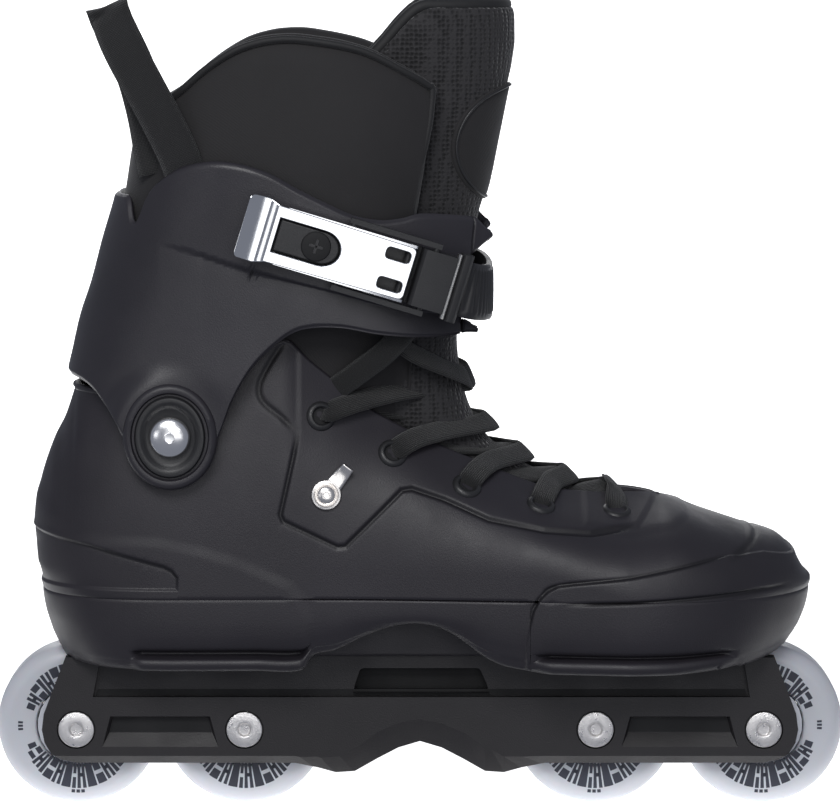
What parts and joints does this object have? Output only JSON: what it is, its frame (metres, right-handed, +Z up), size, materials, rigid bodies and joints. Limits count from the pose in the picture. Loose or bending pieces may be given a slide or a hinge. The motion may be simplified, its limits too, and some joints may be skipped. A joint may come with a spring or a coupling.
{
  "type": "inline skate",
  "caption": "Hard-boot aggressive inline skate with hinged cuff, buckle, laces, padded liner, grind-block frame and small wheels in two close pairs.",
  "frame": {"origin": "on the floor, midway between the front and rear wheels and on their centre plane", "axes": "+X to the toe, +Y to the inner (medial) side, +Z up"},
  "size_m": [0.3134, 0.1198, 0.2986],
  "materials": {
    "black_plastic": "satin moulded nylon, fine texture",
    "tyre_urethane": "pale grey cast urethane, satin",
    "hub_plastic": "white core",
    "nickel_steel": "nickel-plated steel",
    "chrome": "polished chrome plate",
    "liner_fabric": "black nylon over foam",
    "webbing": "woven black polyester"
  },
  "bodies": {
    "root": {"frame": "black_plastic", "frame_bolt_front": "nickel_steel", "frame_bolt_rear": "nickel_steel", "sole_plate_rear": "black_plastic", "sole_plate_front": "black_plastic", "shell": "black_plastic", "liner_foot": "liner_fabric", "insole": "liner_fabric", "tongue_instep": "liner_fabric", "lace": "webbing", "lace_hook": "nickel_steel", "lace_hook_screw": "nickel_steel", "cuff_bolt_lateral": "chrome", "cuff_bolt_medial": "chrome", "wheel_1_spacer": "nickel_steel", "wheel_1_axle_bolt": "nickel_steel", "wheel_1_axle_nut": "nickel_steel", "wheel_2_spacer": "nickel_steel", "wheel_2_axle_bolt": "nickel_steel", "wheel_2_axle_nut": "nickel_steel", "wheel_3_spacer": "nickel_steel", "wheel_3_axle_bolt": "nickel_steel", "wheel_3_axle_nut": "nickel_steel", "wheel_4_spacer": "nickel_steel", "wheel_4_axle_bolt": "nickel_steel", "wheel_4_axle_nut": "nickel_steel"},
    "wheel_1": {"wheel_1_tyre": "tyre_urethane", "wheel_1_hub": "hub_plastic", "wheel_1_bearing_lateral": "nickel_steel", "wheel_1_bearing_medial": "nickel_steel"},
    "wheel_2": {"wheel_2_tyre": "tyre_urethane", "wheel_2_hub": "hub_plastic", "wheel_2_bearing_lateral": "nickel_steel", "wheel_2_bearing_medial": "nickel_steel"},
    "wheel_3": {"wheel_3_tyre": "tyre_urethane", "wheel_3_hub": "hub_plastic", "wheel_3_bearing_lateral": "nickel_steel", "wheel_3_bearing_medial": "nickel_steel"},
    "wheel_4": {"wheel_4_tyre": "tyre_urethane", "wheel_4_hub": "hub_plastic", "wheel_4_bearing_lateral": "nickel_steel", "wheel_4_bearing_medial": "nickel_steel"},
    "cuff": {"cuff": "black_plastic", "cuff_insert_lateral": "black_plastic", "cuff_insert_medial": "black_plastic", "buckle_base": "black_plastic", "buckle_screw": "nickel_steel", "buckle_pin": "nickel_steel", "strap_bracket": "black_plastic", "strap_keeper": "black_plastic", "buckle_strap": "black_plastic", "strap_anchor": "nickel_steel", "liner_collar": "liner_fabric", "tongue_shin": "liner_fabric", "pull_loop": "webbing"},
    "buckle_lever": {"buckle_lever": "chrome"},
    "buckle_bail": {"buckle_bail": "nickel_steel"}
  },
  "joints": [
    {"name": "wheel_1_spin", "type": "hinge", "parent": "root", "child": "wheel_1", "pos_m": [-0.12675, 0, 0.03], "axis": [0, 1, 0], "continuous": true},
    {"name": "wheel_2_spin", "type": "hinge", "parent": "root", "child": "wheel_2", "pos_m": [-0.06475, 0, 0.03], "axis": [0, 1, 0], "continuous": true},
    {"name": "wheel_3_spin", "type": "hinge", "parent": "root", "child": "wheel_3", "pos_m": [0.06475, 0, 0.03], "axis": [0, 1, 0], "continuous": true},
    {"name": "wheel_4_spin", "type": "hinge", "parent": "root", "child": "wheel_4", "pos_m": [0.12675, 0, 0.03], "axis": [0, 1, 0], "continuous": true},
    {"name": "cuff_flex", "type": "hinge", "parent": "root", "child": "cuff", "pos_m": [-0.09, 0, 0.142], "axis": [0, 1, 0], "range_deg": [-3, 12]},
    {"name": "buckle_open", "type": "hinge", "parent": "cuff", "child": "buckle_lever", "pos_m": [-0.00571, -0.05239, 0.20191], "axis": [0.293, 0, 0.9561], "range_deg": [0, 90]},
    {"name": "bail_swing", "type": "hinge", "parent": "buckle_lever", "child": "buckle_bail", "pos_m": [-0.02669, -0.05386, 0.20834], "axis": [0.293, 0, 0.9561], "range_deg": [-54, 0]}
  ],
  "couplings": [
    {"joint": "bail_swing", "follows": "buckle_open", "ratio": -0.6}
  ]
}
